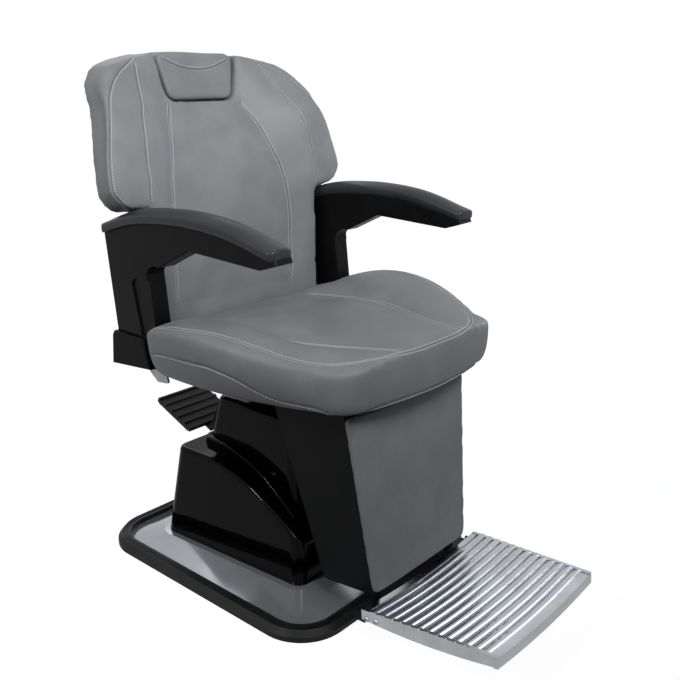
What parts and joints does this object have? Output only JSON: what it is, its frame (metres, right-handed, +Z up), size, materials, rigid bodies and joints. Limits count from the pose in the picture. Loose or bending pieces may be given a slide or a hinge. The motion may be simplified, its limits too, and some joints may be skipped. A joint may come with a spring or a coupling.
{
  "type": "hydraulic barber chair",
  "caption": "Reclining hydraulic barber chair with winged back, dished seat, armrests, leg rest, ribbed foot plate, pump pedal and flat base.",
  "frame": {"origin": "on the floor, on the lift and swivel axis, at the centre of the base plate", "axes": "+Z up; the chair faces -Y; +X is the side of the sitter's left hand"},
  "size_m": [0.7116, 1.0965, 1.137],
  "materials": {
    "leatherette": "satin grained vinyl",
    "black_paint": "satin black powder coat",
    "black_gloss": "polished moulded shell",
    "black_plastic": "fine-grained moulding",
    "slate_pad": "soft-touch moulded pad",
    "polished_steel": "polished",
    "steel": "machined",
    "zinc": "zinc plated",
    "cast_aluminium": "polished casting",
    "bronze": "turned",
    "iron": "painted casting",
    "rubber": "grooved moulding",
    "plywood": "bare birch ply"
  },
  "bodies": {
    "base": {"base_plate": "black_paint", "base_rim": "rubber", "base_dish": "polished_steel", "pump_tube": "steel", "tube_bolts": "zinc", "guide_bush": "bronze", "ram_wiper": "rubber", "cover_lower": "black_gloss", "cover_tower": "black_gloss"},
    "lift": {"lift_ram": "steel", "ram_piston": "steel", "piston_seal": "rubber", "thrust_washer": "bronze", "spigot_nut": "zinc"},
    "seat": {"pump_head": "iron", "swivel_bush": "bronze", "lever_pin": "zinc", "lever_spring": "steel", "seat_frame": "black_paint", "frame_bolts": "zinc", "seat_board": "plywood", "recline_pins": "zinc", "leg_pins": "zinc", "lock_housing": "black_paint", "seat_cushion": "leatherette", "arm_left": "black_plastic", "arm_right": "black_plastic", "arm_pad_left": "slate_pad", "arm_pad_right": "slate_pad", "arm_block_left": "black_plastic", "arm_block_right": "black_plastic", "arm_stay_left": "black_paint", "arm_stay_right": "black_paint", "stay_bolts": "zinc"},
    "plunger": {"pump_plunger": "steel"},
    "foot_lever": {"pump_lever": "black_paint", "pedal_plate": "black_paint", "pedal_rubber": "rubber"},
    "backrest": {"back_frame": "black_paint", "recline_bushes": "bronze", "back_board": "plywood", "back_cushion": "leatherette", "back_cover": "black_plastic", "headrest_guide": "zinc"},
    "headrest": {"headrest_pad": "leatherette", "headrest_bar": "polished_steel"},
    "legrest": {"leg_frame": "black_paint", "leg_bushes": "bronze", "leg_panel_left": "black_plastic", "leg_panel_right": "black_plastic", "calf_board": "plywood", "calf_pad": "leatherette", "foot_bar": "black_paint", "foot_plate": "cast_aluminium", "plate_screws": "polished_steel"},
    "link": {"sync_link": "zinc"},
    "lock": {"lock_rod": "steel"},
    "recline_lever": {"release_shaft": "zinc", "release_paddle": "zinc"}
  },
  "joints": [
    {"name": "lift_slide", "type": "slide", "parent": "base", "child": "lift", "axis": [0, 0, 1], "range_m": [0, 0.15]},
    {"name": "swivel", "type": "hinge", "parent": "lift", "child": "seat", "pos_m": [0, 0, 0.391], "axis": [0, 0, 1], "continuous": true},
    {"name": "plunger_slide", "type": "slide", "parent": "seat", "child": "plunger", "axis": [0, 0, 1], "range_m": [0, 0.00433]},
    {"name": "pedal_hinge", "type": "hinge", "parent": "seat", "child": "foot_lever", "pos_m": [0, 0.085, 0.405], "axis": [-1, 0, 0], "range_deg": [0, 8], "stiffness_Nm_per_rad": 20, "springref_deg": -20.05},
    {"name": "recline", "type": "hinge", "parent": "seat", "child": "backrest", "pos_m": [0, 0.195, 0.475], "axis": [-1, 0, 0], "range_deg": [0, 45]},
    {"name": "headrest_slide", "type": "slide", "parent": "backrest", "child": "headrest", "axis": [0, 0.1942, 0.981], "range_m": [0, 0.1]},
    {"name": "legrest_swing", "type": "hinge", "parent": "seat", "child": "legrest", "pos_m": [0, -0.324, 0.46], "axis": [-1, 0, 0], "range_deg": [0, 45]},
    {"name": "link_pivot", "type": "hinge", "parent": "backrest", "child": "link", "pos_m": [-0.1, 0.21413, 0.42881], "axis": [-1, 0, 0], "range_deg": [-45, 0]},
    {"name": "lock_slide", "type": "slide", "parent": "seat", "child": "lock", "axis": [0, -1, 0], "range_m": [0, 0.0383]},
    {"name": "paddle_hinge", "type": "hinge", "parent": "seat", "child": "recline_lever", "pos_m": [0, 0.14, 0.46], "axis": [-1, 0, 0], "range_deg": [0, 15], "stiffness_Nm_per_rad": 1.5, "springref_deg": -14.32}
  ],
  "couplings": [
    {"joint": "plunger_slide", "follows": "pedal_hinge", "m_per_rad": 0.031},
    {"joint": "legrest_swing", "follows": "recline", "ratio": 1},
    {"joint": "link_pivot", "follows": "recline", "ratio": -1},
    {"joint": "lock_slide", "follows": "recline", "m_per_rad": 0.0487}
  ]
}
